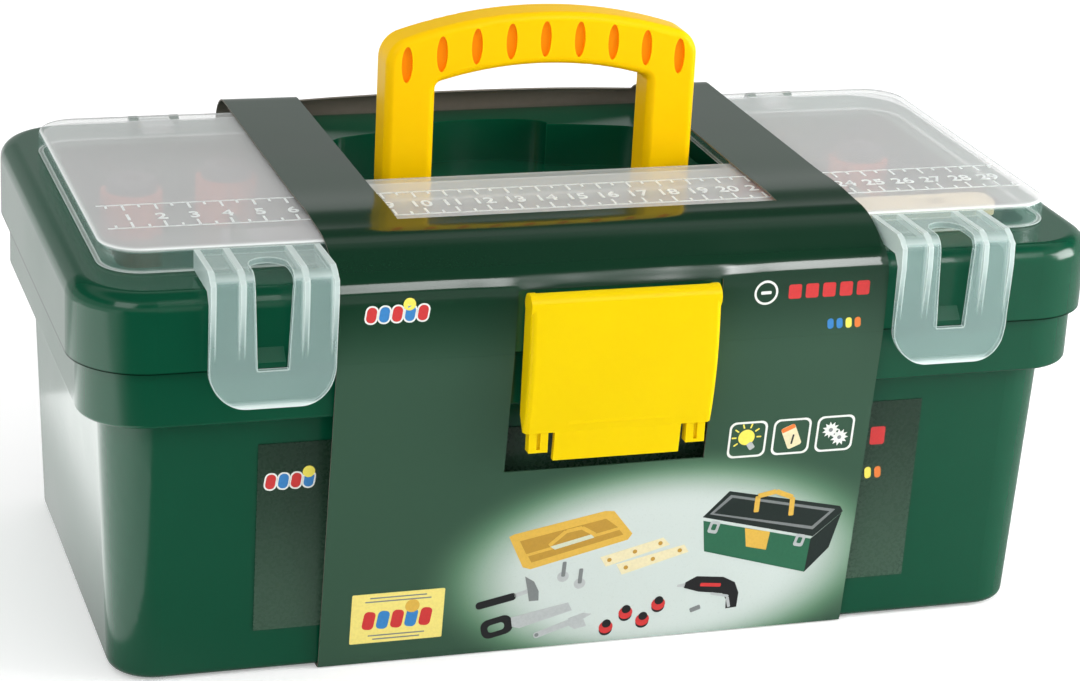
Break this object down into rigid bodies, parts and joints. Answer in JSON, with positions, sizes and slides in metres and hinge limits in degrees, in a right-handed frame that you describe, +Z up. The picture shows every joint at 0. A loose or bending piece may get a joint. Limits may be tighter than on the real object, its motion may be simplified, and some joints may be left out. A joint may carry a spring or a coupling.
{
  "type": "toy tool box",
  "caption": "Toy tool box: hinged lid with parts wells, clear clipped cover, folding handle, front latch, lift-out tray and printed card sleeve.",
  "frame": {"origin": "on the ground, under the middle of the box's plan", "axes": "+X to the right along the box's length, +Y to the back, +Z up"},
  "size_m": [0.3244, 0.1908, 0.186],
  "materials": {
    "green_plastic": "gloss",
    "clear_plastic": "frosted",
    "yellow_plastic": "satin",
    "tray_plastic": "satin",
    "printed_card": "gloss varnish",
    "label_film": "satin",
    "pin_steel": "satin",
    "orange_plastic": "satin",
    "black_plastic": "satin",
    "grey_plastic": "satin",
    "cream_plastic": "satin"
  },
  "bodies": {
    "base": {"base_box": "green_plastic", "lid_hinge_pin_left": "pin_steel", "lid_hinge_pin_right": "pin_steel", "lift_out_tray": "tray_plastic", "front_label": "label_film", "sleeve_base_wrap": "printed_card", "connector_bar_tray": "cream_plastic"},
    "lid": {"lid": "green_plastic", "cover_hinge_pin_left": "pin_steel", "cover_hinge_pin_right": "pin_steel", "sleeve_lid_front": "printed_card", "sleeve_lid_back": "printed_card", "spool_nuts": "orange_plastic", "spool_nut_caps": "black_plastic", "toy_screws": "grey_plastic", "connector_bar_lid": "cream_plastic"},
    "cover": {"clear_cover": "clear_plastic", "sleeve_top_panel": "printed_card"},
    "clip_left": {"cover_clip_left": "clear_plastic"},
    "clip_right": {"cover_clip_right": "clear_plastic"},
    "handle": {"carry_handle": "yellow_plastic"},
    "latch": {"front_latch": "yellow_plastic"}
  },
  "joints": [
    {"name": "lid_hinge", "type": "hinge", "parent": "base", "child": "lid", "pos_m": [0, 0.0912, 0.104], "axis": [-1, 0, 0], "range_deg": [0, 105]},
    {"name": "cover_hinge", "type": "hinge", "parent": "lid", "child": "cover", "pos_m": [0, 0.076, 0.1313], "axis": [-1, 0, 0], "range_deg": [0, 100]},
    {"name": "clip_left_hinge", "type": "hinge", "parent": "cover", "child": "clip_left", "pos_m": [-0.1066, -0.06865, 0.136], "axis": [-1, 0, 0], "range_deg": [0, 60]},
    {"name": "clip_right_hinge", "type": "hinge", "parent": "cover", "child": "clip_right", "pos_m": [0.1066, -0.06865, 0.136], "axis": [-1, 0, 0], "range_deg": [0, 60]},
    {"name": "handle_fold", "type": "hinge", "parent": "lid", "child": "handle", "pos_m": [0, 0.001, 0.124], "axis": [-1, 0, 0], "range_deg": [0, 88]},
    {"name": "latch_hinge", "type": "hinge", "parent": "lid", "child": "latch", "pos_m": [0, -0.0914, 0.1213], "axis": [-1, 0, 0], "range_deg": [0, 90]}
  ],
  "couplings": [
    {"joint": "handle_fold", "follows": "cover_hinge", "ratio": 0.88}
  ]
}
